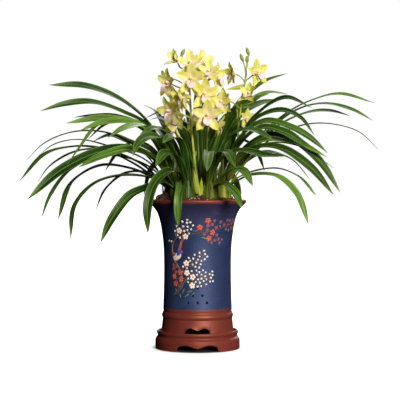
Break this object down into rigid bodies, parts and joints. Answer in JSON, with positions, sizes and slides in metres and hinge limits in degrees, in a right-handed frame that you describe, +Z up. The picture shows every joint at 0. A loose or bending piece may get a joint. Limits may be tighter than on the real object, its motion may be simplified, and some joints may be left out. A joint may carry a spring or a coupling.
{
  "type": "potted cymbidium orchid",
  "caption": "Cymbidium orchid with arching strap leaves and yellow blooms on upright spikes, planted in bark in a tall clay pot that stands on a footed saucer.",
  "frame": {"origin": "middle of the saucer's base, on the table", "axes": "+Z up, -Y towards the decorated front of the pot, +X to the viewer's right"},
  "size_m": [0.8041, 0.5016, 0.676],
  "materials": {
    "bare_clay": "unglazed, burnished",
    "blue_slip": "matt slip",
    "bark": "rough",
    "leaf": "waxy",
    "flower_stem": "waxy",
    "petal": "satin",
    "lip": "satin"
  },
  "bodies": {
    "root": {"saucer": "bare_clay", "pot": "blue_slip", "potting_mix": "bark", "growth_left": "leaf", "growth_left_front": "leaf", "growth_front": "leaf", "growth_right_front": "leaf", "growth_right": "leaf", "growth_right_back": "leaf", "growth_back_right": "leaf", "growth_back": "leaf", "growth_left_back": "leaf", "growth_middle": "leaf", "spike_left": "flower_stem", "bloom_left_left_top": "petal", "bloom_left_crown": "petal", "lip_left_crown": "lip", "bloom_left_front_high": "petal", "lip_left_front_high": "lip", "bloom_left_side_high": "petal", "lip_left_side_high": "lip", "bloom_left_side_mid": "petal", "lip_left_side_mid": "lip", "bloom_left_back_mid": "petal", "bloom_left_low": "petal", "lip_left_low": "lip", "bloom_left_back_low": "petal", "bloom_left_edge_on": "petal", "lip_left_edge_on": "lip", "bloom_left_left_mid": "petal", "lip_left_left_mid": "lip", "bloom_left_left_low": "petal", "lip_left_left_low": "lip", "spike_middle": "flower_stem", "bloom_middle_top": "petal", "lip_middle_top": "lip", "bloom_middle_right_top": "petal", "lip_middle_right_top": "lip", "bloom_middle_side": "petal", "lip_middle_side": "lip", "bloom_middle_centre": "petal", "lip_middle_centre": "lip", "bloom_middle_front_low": "petal", "lip_middle_front_low": "lip", "bloom_middle_back": "petal", "bloom_middle_right_high": "petal", "lip_middle_right_high": "lip", "bloom_middle_right_mid": "petal", "lip_middle_right_mid": "lip", "spike_right": "flower_stem", "bloom_right_left_top": "petal", "lip_right_left_top": "lip", "bloom_right_right_top": "petal", "lip_right_right_top": "lip", "bloom_right_mid": "petal", "lip_right_mid": "lip", "bloom_right_left_low": "petal", "lip_right_left_low": "lip", "bloom_right_low": "petal", "lip_right_low": "lip"}
  },
  "joints": []
}
